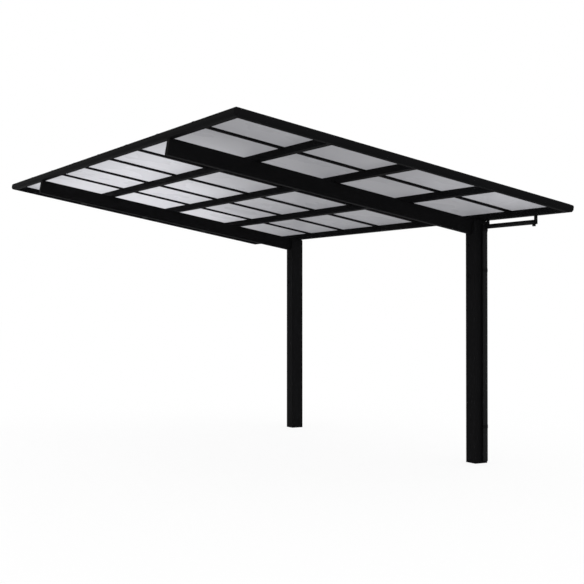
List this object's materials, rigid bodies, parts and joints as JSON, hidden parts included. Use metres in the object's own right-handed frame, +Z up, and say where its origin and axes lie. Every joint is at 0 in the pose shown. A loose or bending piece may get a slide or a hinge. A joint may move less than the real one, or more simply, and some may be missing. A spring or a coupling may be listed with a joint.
{
  "type": "cantilever carport",
  "caption": "Open carport with a gently sloping roof of translucent sheets in a black metal frame, cantilevered from posts along its low side, with gutter and downpipe.",
  "frame": {"origin": "centre of the front post's foot, on the ground", "axes": "+X down the slope of the roof toward the post side, +Y from the front to the rear, +Z up"},
  "size_m": [2.7192, 4.95, 2.4396],
  "materials": {
    "black_aluminium": "satin",
    "roof_sheet": "satin",
    "drain_plastic": "satin",
    "foot_steel": "satin"
  },
  "bodies": {
    "root": {"front_post": "black_aluminium", "rear_post": "black_aluminium", "front_foot": "foot_steel", "rear_foot": "foot_steel", "front_post_cap": "black_aluminium", "rear_post_cap": "black_aluminium", "front_arm": "black_aluminium", "rear_arm": "black_aluminium", "front_arm_cap": "black_aluminium", "rear_arm_cap": "black_aluminium", "front_edge_beam": "black_aluminium", "rear_edge_beam": "black_aluminium", "high_edge_beam": "black_aluminium", "low_gutter": "black_aluminium", "purlin_1": "black_aluminium", "purlin_2": "black_aluminium", "purlin_3": "black_aluminium", "glazing_bar_1": "black_aluminium", "glazing_bar_2": "black_aluminium", "glazing_bar_3": "black_aluminium", "glazing_bar_4": "black_aluminium", "glazing_bar_5": "black_aluminium", "glazing_bar_6": "black_aluminium", "glazing_bar_7": "black_aluminium", "cap_strip_1": "black_aluminium", "cap_strip_2": "black_aluminium", "cap_strip_3": "black_aluminium", "cap_strip_4": "black_aluminium", "cap_strip_5": "black_aluminium", "cap_strip_6": "black_aluminium", "cap_strip_7": "black_aluminium", "roof_sheet_1": "roof_sheet", "roof_sheet_2": "roof_sheet", "roof_sheet_3": "roof_sheet", "roof_sheet_4": "roof_sheet", "roof_sheet_5": "roof_sheet", "roof_sheet_6": "roof_sheet", "roof_sheet_7": "roof_sheet", "roof_sheet_8": "roof_sheet", "drain_outlet": "drain_plastic", "drain_pipe": "drain_plastic", "drain_tee": "drain_plastic", "downpipe": "drain_plastic", "clip_upper": "drain_plastic", "clip_lower": "drain_plastic"}
  },
  "joints": []
}
